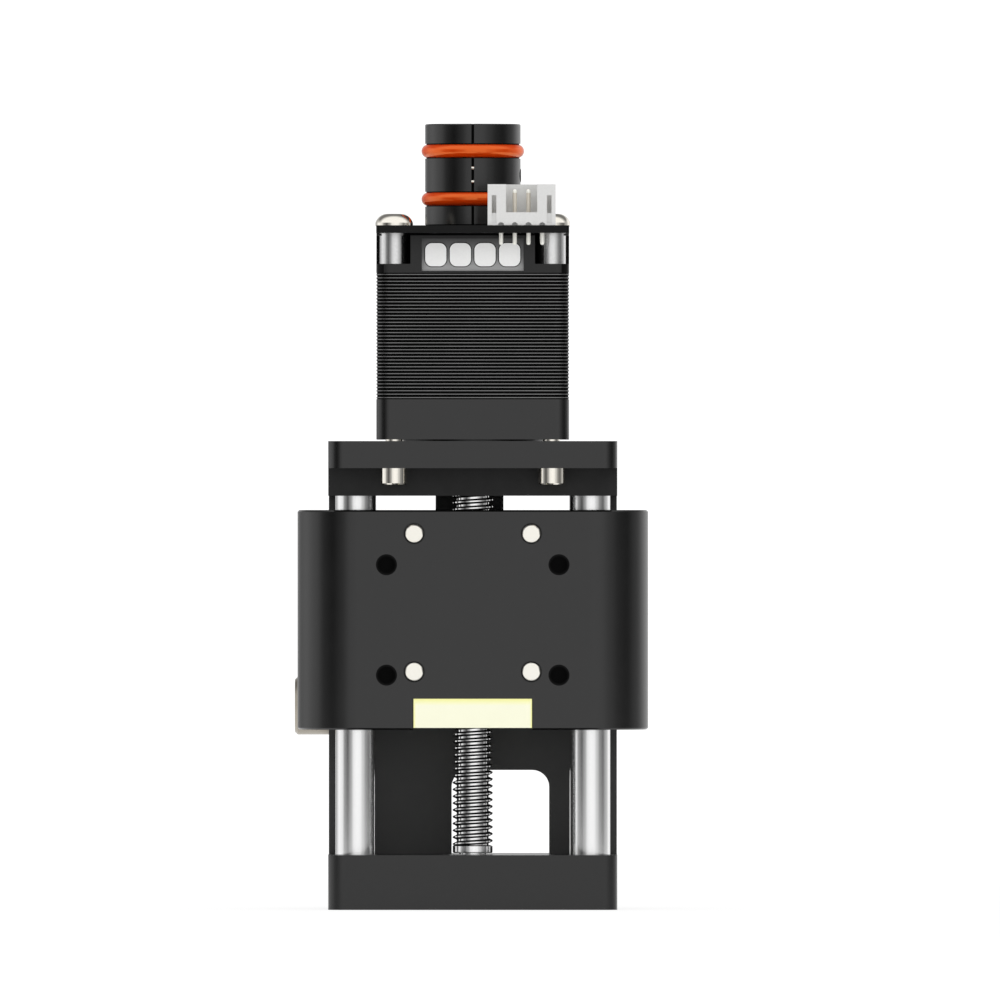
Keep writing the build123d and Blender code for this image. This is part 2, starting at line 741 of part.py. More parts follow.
# Every piece under its node name
nodes = {
    "bottom_plate": bottom_plate(),
    "back_plate": back_plate(),
    "top_plate": top_plate(),
    "left_guide_rod": guide_rod(-1),
    "right_guide_rod": guide_rod(1),
    "top_frame_screws": top_frame_screws(),
    "bottom_frame_screws": bottom_frame_screws(),
    "side_screw": side_screw(),
    "lower_bearing_outer": bearing_outer(lower_bearing_r, lower_journal_r, lower_bearing_z,
                                         lower_bearing_width),
    "lower_bearing_inner": bearing_inner(lower_journal_r, lower_bearing_z, lower_bearing_width),
    "motor_front_cap": motor_front_cap(),
    "motor_laminations": motor_laminations(),
    "motor_windings": motor_windings(),
    "motor_rear_cap": motor_rear_cap(),
    "front_bearing_outer": bearing_outer(motor_bearing_r, upper_shaft_r, front_bearing_z,
                                         motor_bearing_width),
    "front_bearing_inner": bearing_inner(upper_shaft_r, front_bearing_z, motor_bearing_width),
    "rear_bearing_outer": bearing_outer(motor_bearing_r, upper_shaft_r, rear_bearing_z,
                                        motor_bearing_width),
    "rear_bearing_inner": bearing_inner(upper_shaft_r, rear_bearing_z, motor_bearing_width),
    "preload_washer": preload_washer(),
    "motor_mount_screws": motor_mount_screws(),
    "motor_long_screws": motor_long_screws(),
    "board_spacers": board_spacers(),
    "connection_board": connection_board(),
    "connector_housing": connector_housing(),
    "connector_pins": connector_pins(),
    "terminal_frame": terminal_frame(),
    "terminal_pads": terminal_pads(),
    "lead_screw": lead_screw(),
    "rotor_lower_cup": toothed_cup(rotor_z, 0),
    "rotor_magnet": rotor_magnet(),
    "rotor_upper_cup": toothed_cup(rotor_z + rotor_cup_length + rotor_magnet_length, 0.5),
    "hand_knob": hand_knob(),
    "knob_set_screw": knob_set_screw(),
    "upper_grip_ring": grip_ring(upper_groove_above_bottom),
    "lower_grip_ring": grip_ring(lower_groove_above_bottom),
    "slide_block": slide_block(),
    "left_slide_bearing": slide_bearing(-1),
    "right_slide_bearing": slide_bearing(1),
    "bearing_circlips": bearing_circlips(),
    "lead_nut": lead_nut(),
    "nut_screws": nut_screws(),
    "blanking_screws": blanking_screws(),
}

os.makedirs("parts", exist_ok=True)
for name, shape in nodes.items():
    export_step(shape, "parts/" + name + ".step")
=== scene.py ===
import json
import math

import bmesh
import bpy
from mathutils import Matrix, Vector


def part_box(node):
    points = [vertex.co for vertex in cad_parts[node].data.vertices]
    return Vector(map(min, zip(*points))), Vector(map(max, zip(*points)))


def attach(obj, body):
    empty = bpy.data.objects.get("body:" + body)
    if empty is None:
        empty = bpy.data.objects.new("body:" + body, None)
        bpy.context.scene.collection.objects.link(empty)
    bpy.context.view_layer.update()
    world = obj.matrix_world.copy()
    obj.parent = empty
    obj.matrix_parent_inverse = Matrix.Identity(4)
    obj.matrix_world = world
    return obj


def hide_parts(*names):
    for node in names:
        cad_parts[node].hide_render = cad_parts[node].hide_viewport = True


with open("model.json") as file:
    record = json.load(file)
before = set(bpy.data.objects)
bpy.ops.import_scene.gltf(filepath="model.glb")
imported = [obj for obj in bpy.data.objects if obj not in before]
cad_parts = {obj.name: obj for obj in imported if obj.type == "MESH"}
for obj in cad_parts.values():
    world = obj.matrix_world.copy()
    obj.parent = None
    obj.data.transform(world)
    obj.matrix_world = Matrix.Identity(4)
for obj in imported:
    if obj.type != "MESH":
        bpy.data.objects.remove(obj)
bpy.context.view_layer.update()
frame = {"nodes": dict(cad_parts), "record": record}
nodes = frame["nodes"]

MM = 0.001

# The photograph's frame: 1000 pixels across at 6.82 pixels per millimetre
PIXELS = 1000
PIXELS_PER_MM = 6.82
VIEW_X = 3.99 * MM
VIEW_Z = 59.94 * MM
CAMERA_DISTANCE = 5.0
SENSOR = 36.0

# Lead screw: M6 by 1, right-hand, with a plain collar below the thread, a journal under that
# and the motor's shaft on top. The flats are shares of the pitch.
JOURNAL_R = 2.0 * MM
SHAFT_R = 2.5 * MM
THREAD_PITCH = 1.0 * MM
THREAD_ROOT_R = 2.36 * MM
THREAD_CREST_FLAT = 0.18
THREAD_ROOT_FLAT = 0.27
THREAD_BOTTOM_Z = 9.35 * MM
COLLAR_Z = 8.2 * MM
THREAD_TOP_Z = 63.0 * MM
SCREW_BEVEL = 0.15 * MM
SHAFT_END_BEVEL = 0.3 * MM
SCREW_SEGMENTS = 72

ROD_BEVEL = 0.4 * MM

# Motor sheets: a narrow ridge on each, with a groove between them
LAMINATION_COUNT = 37
SHEET_RIDGE = 0.12 * MM
SHEET_EASE = 0.02 * MM
SHEET_GROOVE = 0.12 * MM
MOTOR_CORNER_R = 1.9 * MM

# Header pins
PIN_COUNT = 4
PIN_WIDTH = 0.62 * MM
PIN_PITCH = 2.0 * MM
PIN_TIP = 0.55 * MM

# Radius of the knob's grooves, where the grip rings sit
RING_SEAT_R = 6.2 * MM

# Painted shade in black sheets: in the knob's slit, along its ring grooves and under its foot
SLIT_HALF = 0.19 * MM
SLIT_SHADE_FROM = 1.1 * MM
SLIT_DEPTH = 2.18 * MM
RING_SHADE_HALF = 0.16 * MM
RING_SHADE_INSET = 0.2 * MM
KNOB_FOOT_R = 5.0 * MM
KNOB_FOOT_INSET = 0.3 * MM
KNOB_FOOT_BELOW = 0.08 * MM

# Painted shade: dark strips that close the gap under the board along the rear cap's sides
STRIP_INSET = 0.02 * MM
STRIP_WIDTH = 0.6 * MM
STRIP_HEIGHT = 0.3 * MM

# Small pins that show in the knob's slit
SLIT_PIN_LEVELS = (106.56 * MM, 108.58 * MM)
SLIT_PIN_R = 0.27 * MM
SLIT_PIN_DEPTH = 0.6 * MM
SLIT_PIN_HALF = 0.22 * MM

# Spindle holes in the slide block's front, with threads, and the blanking screws beside them
SPINDLE_X = 25.25 * MM
SPINDLE_Z = 16.16 * MM
SPINDLE_R = 1.54 * MM
SPINDLE_DEPTH = 2.5 * MM
HOLE_THREAD_PITCH = 0.5 * MM
HOLE_THREAD_HEIGHT = 0.28 * MM
BLANKING_R = 1.465 * MM
BLANKING_GAP = 0.14 * MM
BLANKING_CHAMFER = 0.12 * MM

# How far back the faces with painted shade reach: the wall under the top plate's lip, the rear
# cap's corner recesses, and the gap round the terminal pads. EDGE keeps them off the outer faces.
LIP_WALL_FROM = 1.0 * MM
CAP_RECESS_TO = 7.0 * MM
PAD_GAP_TO = 0.25 * MM
EDGE = 0.2 * MM

# Studio. The flags' levels stand against the angle from the front, in degrees to the right.
SOFT_LEVEL = 1.1
UNDER_LEVEL = 0.07
BEHIND_LEVEL = 0.18
FLAG_STOPS = [(-180, 0.7), (-142, 0.42), (-108, 1.0), (-84, 0.88), (-64, 0.24), (-46, 0.08),
              (-28, 0.33), (-10, 0.90), (7, 1.0), (23, 0.96), (41, 0.60), (60, 0.24), (79, 0.13),
              (102, 0.42), (137, 1.0), (180, 0.7)]
FLOOR_R = 0.34
FLOOR_BELOW = 0.02 * MM
FLOOR_GLOW = 1.04
FLOOR_CAMERA_SHARE = 0.8
FLOOR_MIRROR_SHARE = 0.5


# Material helpers
def new_material(name):
    material = bpy.data.materials.new(name)
    material.use_nodes = True
    tree = material.node_tree
    return material, tree, tree.nodes["Principled BSDF"]


def add(tree, kind, **values):
    node = tree.nodes.new(kind)
    for key, value in values.items():
        setattr(node, key, value)
    return node


def math_node(tree, operation, first, second=None):
    node = add(tree, "ShaderNodeMath", operation=operation)
    for socket, value in zip(node.inputs, (first, second)):
        if value is None:
            continue
        if isinstance(value, (int, float)):
            socket.default_value = value
        else:
            tree.links.new(value, socket)
    return node.outputs[0]


def noise(tree, scale, detail=3.0, stretch=(1, 1, 1)):
    place = add(tree, "ShaderNodeTexCoord")
    mapping = add(tree, "ShaderNodeMapping")
    mapping.inputs["Scale"].default_value = stretch
    texture = add(tree, "ShaderNodeTexNoise")
    texture.inputs["Scale"].default_value = scale
    texture.inputs["Detail"].default_value = detail
    tree.links.new(place.outputs["Object"], mapping.inputs["Vector"])
    tree.links.new(mapping.outputs["Vector"], texture.inputs["Vector"])
    return texture.outputs["Fac"]


def ramp(tree, factor, stops, ease="LINEAR"):
    node = add(tree, "ShaderNodeValToRGB")
    node.color_ramp.interpolation = ease
    while len(node.color_ramp.elements) < len(stops):
        node.color_ramp.elements.new(0.5)
    for element, (place, colour) in zip(node.color_ramp.elements, stops):
        element.position = place
        element.color = (*colour, 1)
    tree.links.new(factor, node.inputs["Fac"])
    return node.outputs["Color"]


def spread(tree, factor, low, high):
    node = add(tree, "ShaderNodeMapRange")
    node.inputs["To Min"].default_value = low
    node.inputs["To Max"].default_value = high
    tree.links.new(factor, node.inputs["Value"])
    return node.outputs["Result"]


def half_scale(tree, value):
    """A value from -1 to 1, moved to between 0 and 1."""
    return math_node(tree, "ADD", math_node(tree, "MULTIPLY", value, 0.5), 0.5)


def bump(tree, shader, factor, strength, distance):
    node = add(tree, "ShaderNodeBump")
    node.inputs["Strength"].default_value = strength
    node.inputs["Distance"].default_value = distance
    tree.links.new(factor, node.inputs["Height"])
    tree.links.new(node.outputs["Normal"], shader.inputs["Normal"])


def finish_material(name, dark, light, rough, metallic=0.0, grain=6000, bump_strength=0.1,
                    bump_height=0.00001, stretch=(1, 1, 1), **sockets):
    """A surface whose colour and roughness vary a little with its grain."""
    material, tree, shader = new_material(name)
    fine = noise(tree, grain, 4.0, stretch)
    broad = noise(tree, grain / 40, 2.0)
    mixed = math_node(tree, "ADD", math_node(tree, "MULTIPLY", fine, 0.5),
                      math_node(tree, "MULTIPLY", broad, 0.5))
    tree.links.new(ramp(tree, mixed, [(0.35, dark), (0.65, light)]), shader.inputs["Base Color"])
    tree.links.new(spread(tree, mixed, rough[0], rough[1]), shader.inputs["Roughness"])
    shader.inputs["Metallic"].default_value = metallic
    for socket, value in sockets.items():
        shader.inputs[socket.replace("_", " ")].default_value = value
    bump(tree, shader, fine, bump_strength, bump_height)
    return material


def grey(value):
    return (value, value, value)


materials = {
    "black_anodised": finish_material("black_anodised", grey(0.0018), grey(0.0028), (0.19, 0.25),
                                      grain=14000, bump_strength=0.06, Specular_IOR_Level=0.63),
    "base_black": finish_material("base_black", grey(0.0018), grey(0.0028), (0.19, 0.25),
                                  grain=14000, bump_strength=0.06, Specular_IOR_Level=0.56),
    "plate_black": finish_material("plate_black", grey(0.041), grey(0.045), (0.4, 0.5),
                                   grain=14000, bump_strength=0.06, Specular_IOR_Level=0.2),
    # shaded_black: a darker copy of the plate black, painted shade for the wall under the top plate's
    # lip
    "shaded_black": finish_material("shaded_black", grey(0.015), grey(0.021), (0.4, 0.5),
                                    grain=14000, bump_strength=0.06, Specular_IOR_Level=0.12),
    "cast_black": finish_material("cast_black", grey(0.002), grey(0.004), (0.42, 0.5),
                                  grain=9000, bump_strength=0.1),
    "black_steel": finish_material("black_steel", grey(0.02), grey(0.03), (0.3, 0.4), 0.6),
    "ground_steel": finish_material("ground_steel", grey(0.89), grey(0.94), (0.12, 0.16), 1.0,
                                    grain=2500, bump_strength=0.02, stretch=(1, 1, 12)),
    "thread_steel": finish_material("thread_steel", grey(0.90), grey(0.96), (0.06, 0.10), 1.0,
                                    grain=4000, bump_strength=0.02),
    "nickel_screws": finish_material("nickel_screws", (0.94, 0.90, 0.81), (0.98, 0.94, 0.86),
                                     (0.07, 0.12), 1.0, grain=5000, bump_strength=0.03),
    "nickel_ends": finish_material("nickel_ends", (0.95, 0.92, 0.83), (0.98, 0.96, 0.89),
                                   (0.2, 0.3), 1.0, grain=5000, bump_strength=0.05),
    "bright_tin": finish_material("bright_tin", (0.93, 0.92, 0.85), (0.97, 0.96, 0.90),
                                  (0.3, 0.4), 0.4, grain=5000, bump_strength=0.05),
    # A darker copy of the nickel: painted shade on the side screw
    "nickel_painted_shade": finish_material("nickel_painted_shade", (0.36, 0.33, 0.28), (0.46, 0.42, 0.36),
                                   (0.25, 0.35), 1.0, grain=5000, bump_strength=0.05),
    "silver_tube": finish_material("silver_tube", grey(0.72), grey(0.80), (0.2, 0.28), 1.0,
                                   grain=3500, bump_strength=0.04),
    "bearing_steel": finish_material("bearing_steel", grey(0.45), grey(0.55), (0.2, 0.3), 1.0),
    "lamination_steel": finish_material("lamination_steel", grey(0.0006), grey(0.0012), (0.5, 0.6),
                                        Specular_IOR_Level=0.03),
    "sheet_edge": finish_material("sheet_edge", grey(0.15), grey(0.20), (0.25, 0.35), 0.7),
    # hole_black: a near-black that is painted shade wherever it is used: thread flanks, recesses,
    # gaps, holes and the sheets at the knob
    "hole_black": finish_material("hole_black", grey(0.0008), grey(0.0015), (0.5, 0.6),
                                  Specular_IOR_Level=0.1),
    "magnet": finish_material("magnet", grey(0.06), grey(0.1), (0.4, 0.5), 0.5),
    "copper_wire": finish_material("copper_wire", (0.45, 0.13, 0.03), (0.6, 0.2, 0.06),
                                   (0.3, 0.4), 0.8),
    "board_laminate": finish_material("board_laminate", grey(0.002), grey(0.004), (0.3, 0.4),
                                      grain=5000, bump_strength=0.1, Specular_IOR_Level=0.16),
    "white_plastic": finish_material("white_plastic", (0.64, 0.64, 0.63), (0.69, 0.69, 0.68),
                                     (0.42, 0.5), grain=5000, bump_strength=0.05),
    "pad_white": finish_material("pad_white", (0.90, 0.90, 0.89), (0.94, 0.94, 0.93),
                                 (0.3, 0.4), grain=3000, bump_strength=0.05),
    # tinned_brass here is a darker copy of the pins' tin: painted shade on the shanks in the header's
    # slot
    "tinned_brass": finish_material("tinned_brass", (0.66, 0.61, 0.52), (0.74, 0.69, 0.60),
                                    (0.4, 0.5), 0.3, grain=6000, bump_strength=0.05),
    "orange_rubber": finish_material("orange_rubber", (0.66, 0.041, 0.0002), (0.73, 0.051, 0.0004),
                                     (0.09, 0.14), grain=3000, bump_strength=0.04, IOR=2.0,
                                     Specular_IOR_Level=1.0, Specular_Tint=(1.0, 0.42, 0.12, 1)),
}


def shaded_frame_plastic():
    """Grey moulded plastic with painted shade from the board above: darker towards its top, paler
    towards its lower edge.
    """
    material, tree, shader = new_material("terminal_plastic")
    place = add(tree, "ShaderNodeTexCoord")
    split = add(tree, "ShaderNodeSeparateXYZ")
    tree.links.new(place.outputs["Generated"], split.inputs[0])
    grain = math_node(tree, "MULTIPLY", noise(tree, 7000), 0.06)
    height = math_node(tree, "ADD", split.outputs["Z"], grain)
    colour = ramp(tree, height, [(0.0, grey(0.46)), (0.22, grey(0.32)), (0.45, grey(0.19)),
                                 (0.8, grey(0.12)), (1.0, grey(0.06))])
    tree.links.new(colour, shader.inputs["Base Color"])
    shader.inputs["Roughness"].default_value = 0.5
    return material


def acetal_with_painted_shade():
    """Cream acetal with painted shade: a yellower band along the flange's top and side edges."""
    material, tree, shader = new_material("nut_acetal")
    place = add(tree, "ShaderNodeTexCoord")
    split = add(tree, "ShaderNodeSeparateXYZ")
    tree.links.new(place.outputs["Generated"], split.inputs[0])
    side = math_node(tree, "ABSOLUTE", math_node(tree, "SUBTRACT", split.outputs["X"], 0.5))
    # The yellower band at the top and side edges is painted shade
    top_shade = ramp(tree, split.outputs["Z"], [(0.17, grey(0)), (0.222, grey(1)), (0.25, grey(0))])
    side_shade = ramp(tree, side, [(0.478, grey(0)), (0.5, grey(1))])
    edge_shade = math_node(tree, "MAXIMUM", top_shade, side_shade)
    grain = math_node(tree, "MULTIPLY", noise(tree, 4000), 0.12)
    colour = ramp(tree, math_node(tree, "ADD", edge_shade, grain),
                  [(0.0, (0.98, 0.98, 0.77)), (0.15, (0.985, 0.985, 0.74)),
                   (1.0, (0.96, 0.95, 0.38))])
    tree.links.new(colour, shader.inputs["Base Color"])
    shader.inputs["Roughness"].default_value = 0.4
    return material


materials["terminal_plastic"] = shaded_frame_plastic()
materials["nut_acetal"] = acetal_with_painted_shade()
# Nodes that look different from the rest of their material slot
node_material = {
    "terminal_frame": "terminal_plastic",
    "back_plate": "plate_black",
    "bottom_plate": "base_black",
    "lead_nut": "nut_acetal",
    # The side screw gets a darker copy of the nickel: painted shade
    "side_screw": "nickel_painted_shade",
    "board_spacers": "silver_tube",
    "terminal_pads": "pad_white",
    "blanking_screws": "nickel_ends",
    "motor_rear_cap": "cast_black",
    "knob_set_screw": "black_steel",
}
for entry in frame["record"]["subparts"]:
    name = entry["node"]
    slots = nodes[name].data.materials
    slots.clear()
    slots.append(materials[node_material.get(name, entry["material_slot"])])


def shade_faces(name, material, chosen):
    """Another material on those faces of a node that a test on centre and normal picks."""
    piece = nodes[name]
    piece.data.materials.append(materials[material])
    for face in piece.data.polygons:
        if chosen(piece.matrix_world @ face.center, face.normal):
            face.material_index = len(piece.data.materials) - 1


# Painted shade: the wall under the top plate's lip gets the darker shaded_black
plate_low, plate_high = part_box("top_plate")
shade_faces("top_plate", "shaded_black",
            lambda centre, normal: normal.y < -0.9 and centre.y > plate_low.y + LIP_WALL_FROM)
# Painted shade: the walls of the rear cap's corner recesses get the near-black hole_black
cap_low, cap_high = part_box("motor_rear_cap")
shade_faces("motor_rear_cap", "hole_black",
            lambda centre, normal: cap_low.y + EDGE < centre.y < cap_low.y + CAP_RECESS_TO
            and abs(normal.z) < 0.5 and abs(centre.x) < cap_high.x - EDGE)
# Painted shade: the floor and walls of the pockets round the terminal pads get the near-black
# hole_black
pocket_low, pocket_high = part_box("terminal_frame")
shade_faces("terminal_frame", "hole_black",
            lambda centre, normal: pocket_low.y + EDGE / 10 < centre.y < pocket_low.y + PAD_GAP_TO
            and abs(centre.x) < pocket_high.x - EDGE / 2
            and pocket_low.z + EDGE / 2 < centre.z < pocket_high.z - EDGE / 2)


# Mesh helpers
def mesh_object(name, bm, material, body, smooth_angle=35):
    bmesh.ops.recalc_face_normals(bm, faces=bm.faces)
    mesh = bpy.data.meshes.new(name)
    bm.to_mesh(mesh)
    bm.free()
    mesh.materials.append(material)
    mesh.shade_smooth()
    mesh.set_sharp_from_angle(angle=math.radians(smooth_angle))
    piece = bpy.data.objects.new(name, mesh)
    bpy.context.scene.collection.objects.link(piece)
    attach(piece, body)
    return piece


def add_ring(bm, r, z, segments, centre=(0, 0)):
    return [bm.verts.new((centre[0] + r * math.cos(2 * math.pi * i / segments),
                          centre[1] + r * math.sin(2 * math.pi * i / segments), z))
            for i in range(segments)]


def join_rings(bm, lower, upper):
    count = len(lower)
    for i in range(count):
        j = (i + 1) % count
        bm.faces.new((lower[i], lower[j], upper[j], upper[i]))


def join_stack(bm, rings):
    for lower, upper in zip(rings, rings[1:]):
        join_rings(bm, lower, upper)


def join_closed(bm, rings):
    """A stack of rings with a face over both ends."""
    join_stack(bm, rings)
    bm.faces.new(rings[0])
    bm.faces.new(rings[-1])


def mark_last(bm, count, material_index):
    """The last faces made, set to another of the piece's materials."""
    bm.faces.ensure_lookup_table()
    for face in bm.faces[-count:]:
        face.material_index = material_index


def ring_facing_front(bm, x, y, z, r, segments=40):
    return [bm.verts.new((x + r * math.cos(a), y, z + r * math.sin(a)))
            for a in (2 * math.pi * i / segments for i in range(segments))]


def ring_facing_side(bm, x, y, z, r, segments=24):
    return [bm.verts.new((x, y + r * math.cos(a), z + r * math.sin(a)))
            for a in (2 * math.pi * i / segments for i in range(segments))]


def upright_box(bm, corners, top):
    """A closed box over four corners."""
    foot = [bm.verts.new(corner) for corner in corners]
    head = [bm.verts.new((v.co.x, v.co.y, top)) for v in foot]
    join_closed(bm, [foot, head])


def annulus(name, inner_r, outer_r, low_z, high_z, material, body, segments=96):
    """A flat closed ring about the lead screw's axis."""
    bm = bmesh.new()
    rings = [add_ring(bm, r, z, segments) for r, z in ((inner_r, low_z), (outer_r, low_z),
                                                       (outer_r, high_z), (inner_r, high_z))]
    join_stack(bm, rings + rings[:1])
    return mesh_object(name, bm, material, body)


def torus(name, middle_r, section_r, seat_r, z, material, body, turns=144, around=40):
    """A round ring stretched over a seat, which flattens its inside."""
    bm = bmesh.new()
    rings = []
    for i in range(turns):
        a = 2 * math.pi * i / turns
        ring = []
        for j in range(around):
            b = 2 * math.pi * j / around
            r = max(middle_r + section_r * math.cos(b), seat_r)
            ring.append(bm.verts.new((r * math.cos(a), r * math.sin(a), z + section_r * math.sin(b))))
        rings.append(ring)
    join_stack(bm, rings + rings[:1])
    return mesh_object(name, bm, material, body)


# Pieces
def threaded_screw():
    """The lead screw with its helical thread, whose flanks are near-black as painted shade."""
    low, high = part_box("lead_screw")
    crest_r = (high.x - low.x) / 2
    bm = bmesh.new()
    half_crest, half_root = THREAD_CREST_FLAT / 2, THREAD_ROOT_FLAT / 2
    profile = [(half_crest, crest_r), (0.5 - half_root, THREAD_ROOT_R),
               (0.5 + half_root, THREAD_ROOT_R), (1 - half_crest, crest_r)]
    below = [(JOURNAL_R - 0.2 * MM, low.z), (JOURNAL_R, low.z + SCREW_BEVEL), (JOURNAL_R, COLLAR_Z),
             (crest_r - SCREW_BEVEL, COLLAR_Z), (crest_r, COLLAR_Z + SCREW_BEVEL),
             (crest_r, THREAD_BOTTOM_Z - SCREW_BEVEL), (crest_r - SCREW_BEVEL, THREAD_BOTTOM_Z)]
    above = [(SHAFT_R, THREAD_TOP_Z + 0.5 * MM), (SHAFT_R, high.z - SHAFT_END_BEVEL),
             (SHAFT_R - SHAFT_END_BEVEL, high.z)]
    rings = [add_ring(bm, r, z, SCREW_SEGMENTS) for r, z in below]
    first_turn = math.floor(THREAD_BOTTOM_Z / THREAD_PITCH) - 1
    last_turn = math.ceil(THREAD_TOP_Z / THREAD_PITCH) + 1
    rows = [(turn + part, r) for turn in range(first_turn, last_turn) for part, r in profile]
    columns = []
    for i in range(SCREW_SEGMENTS + 1):
        angle = 2 * math.pi * i / SCREW_SEGMENTS
        column = []
        for turn, r in rows:
            z = (turn + i / SCREW_SEGMENTS) * THREAD_PITCH
            if z <= THREAD_BOTTOM_Z or z >= THREAD_TOP_Z:
                z = min(max(z, THREAD_BOTTOM_Z), THREAD_TOP_Z)
                r = THREAD_ROOT_R
            column.append(bm.verts.new((r * math.cos(angle), r * math.sin(angle), z)))
        columns.append(column)
    for left, right in zip(columns, columns[1:]):
        for k in range(len(rows) - 1):
            face = bm.faces.new((left[k], right[k], right[k + 1], left[k + 1]))
            # Flank faces get the second material, near-black: painted shade
            face.material_index = 1 if rows[k][1] != rows[k + 1][1] else 0
    join_stack(bm, rings)
    upper = [add_ring(bm, r, z, SCREW_SEGMENTS) for r, z in above]
    join_stack(bm, upper)
    bm.faces.new(rings[0])
    bm.faces.new(upper[-1])
    join_rings(bm, rings[-1], [columns[i][0] for i in range(SCREW_SEGMENTS)])
    join_rings(bm, [columns[i][-1] for i in range(SCREW_SEGMENTS)], upper[0])
    bmesh.ops.remove_doubles(bm, verts=bm.verts, dist=0.0005 * MM)
    bmesh.ops.dissolve_degenerate(bm, edges=bm.edges, dist=0.0005 * MM)
    piece = mesh_object("lead_screw_threaded", bm, materials["thread_steel"], "screw", 25)
    piece.data.materials.append(materials["hole_black"])
    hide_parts("lead_screw")


def grip_rings():
    for name in ("upper_grip_ring", "lower_grip_ring"):
        low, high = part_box(name)
        section_r = (high.z - low.z) / 2
        middle_r = (high.x - low.x) / 2 - section_r
        piece = torus(name + "_moulded", middle_r, section_r, RING_SEAT_R, (low.z + high.z) / 2,
                      materials["orange_rubber"], "screw")
        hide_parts(name)


def guide_rods():
    for name in ("left_guide_rod", "right_guide_rod"):
        low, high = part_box(name)
        r = (high.x - low.x) / 2
        centre = ((low.x + high.x) / 2, (low.y + high.y) / 2)
        bm = bmesh.new()
        join_closed(bm, [add_ring(bm, radius, z, 128, centre)
                         for radius, z in ((r - ROD_BEVEL, low.z), (r, low.z + ROD_BEVEL),
                                           (r, high.z - ROD_BEVEL), (r - ROD_BEVEL, high.z))])
        piece = mesh_object(name + "_ground", bm, materials["ground_steel"], "frame")
        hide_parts(name)


def rounded_square(bm, side, corner_r, z, per_corner=7):
    """One ring of vertices along a square outline with round corners."""
    ring = []
    inner = side / 2 - corner_r
    for quarter, (sx, sy) in enumerate(((1, 1), (-1, 1), (-1, -1), (1, -1))):
        for i in range(per_corner):
            angle = math.pi / 2 * (quarter + i / (per_corner - 1))
            ring.append(bm.verts.new((sx * inner + corner_r * math.cos(angle),
                                      sy * inner + corner_r * math.sin(angle), z)))
    return ring


def laminated_stack():
    """The motor's sheets: a narrow bright edge on each, and a dark groove between them."""
    low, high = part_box("motor_laminations")
    side = high.x - low.x
    pitch = (high.z - low.z) / LAMINATION_COUNT
    ridge = SHEET_RIDGE / 2
    bm = bmesh.new()
    rings = []
    ridge_rows = []
    for index in range(LAMINATION_COUNT):
        middle = low.z + (index + 0.5) * pitch
        for inset, z in ((SHEET_GROOVE, middle - pitch / 2),
                         (SHEET_GROOVE, middle - ridge - SHEET_EASE),
                         (0, middle - ridge), (0, middle + ridge),
                         (SHEET_GROOVE, middle + ridge + SHEET_EASE)):
            if (inset, z) == (0, middle + ridge):
                ridge_rows.append(len(rings) - 1)
            rings.append(rounded_square(bm, side - 2 * inset, MOTOR_CORNER_R - inset, z))
    rings.append(rounded_square(bm, side - 2 * SHEET_GROOVE, MOTOR_CORNER_R - SHEET_GROOVE, high.z))
    for row, (lower, upper) in enumerate(zip(rings, rings[1:])):
        join_rings(bm, lower, upper)
        if row in ridge_rows:
            mark_last(bm, len(lower), 1)
    bm.faces.new(rings[0])
    bm.faces.new(rings[-1])
    piece = mesh_object("lamination_sheets", bm, materials["lamination_steel"], "frame", 25)
    piece.data.materials.append(materials["sheet_edge"])
    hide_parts("motor_laminations")


def header_pins():
    """Round pins with bright ends and a darker shank above the board, whose colour is painted shade.
    """
    low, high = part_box("connector_pins")
    board_low, board_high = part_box("connection_board")
    half = PIN_WIDTH / 2
    y = (low.y + high.y) / 2
    middle = (low.x + high.x) / 2
    tip = high.z - PIN_TIP
    rows = [(half * 0.45, low.z), (half * 0.85, low.z + 0.12 * MM), (half, low.z + 0.35 * MM),
            (half, board_low.z), (half, board_high.z), (half, tip), (half * 1.05, tip + 0.02 * MM),
            (half * 1.05, tip + 0.25 * MM), (half * 0.8, high.z - 0.12 * MM), (half * 0.4, high.z)]
    bm = bmesh.new()
    for index in range(PIN_COUNT):
        x = middle + (index - (PIN_COUNT - 1) / 2) * PIN_PITCH
        rings = [add_ring(bm, r, z, 20, (x, y)) for r, z in rows]
        for (r, z), lower, upper in zip(rows, rings, rings[1:]):
            join_rings(bm, lower, upper)
            # Shank faces get the darker tin: painted shade
            if board_low.z < z < tip:
                mark_last(bm, len(lower), 1)
        bm.faces.new(rings[0])
        bm.faces.new(rings[-1])
    pins = mesh_object("header_pins", bm, materials["bright_tin"], "frame")
    pins.data.materials.append(materials["tinned_brass"])
    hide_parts("connector_pins")


def tapped_holes():
    """Near-black threads in the slide block's four spindle holes: painted shade."""
    block_low, block_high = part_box("slide_block")
    middle = (block_low.z + block_high.z) / 2
    bm = bmesh.new()
    for x in (-SPINDLE_X / 2, SPINDLE_X / 2):
        for z in (middle - SPINDLE_Z / 2, middle + SPINDLE_Z / 2):
            rows = [(SPINDLE_R - 0.004 * MM, 0.02 * MM)]
            depth = 0.15 * MM
            while depth < SPINDLE_DEPTH - 0.3 * MM:
                rows += [(SPINDLE_R - HOLE_THREAD_HEIGHT, depth),
                         (SPINDLE_R - 0.04 * MM, depth + HOLE_THREAD_PITCH / 2)]
                depth += HOLE_THREAD_PITCH
            rows.append((SPINDLE_R - 0.3 * MM, SPINDLE_DEPTH - 0.02 * MM))
            inner = [ring_facing_front(bm, x, block_low.y + y, z, r) for r, y in rows]
            outer = [ring_facing_front(bm, x, block_low.y + y, z, SPINDLE_R - 0.002 * MM)
                     for y in (SPINDLE_DEPTH - 0.005 * MM, 0.02 * MM)]
            join_stack(bm, inner)
            bm.faces.new(inner[-1])
            join_stack(bm, outer)
            bm.faces.new(outer[0])
            join_rings(bm, outer[-1], inner[0])
    threads = mesh_object("spindle_hole_threads", bm, materials["hole_black"], "slider", 60)


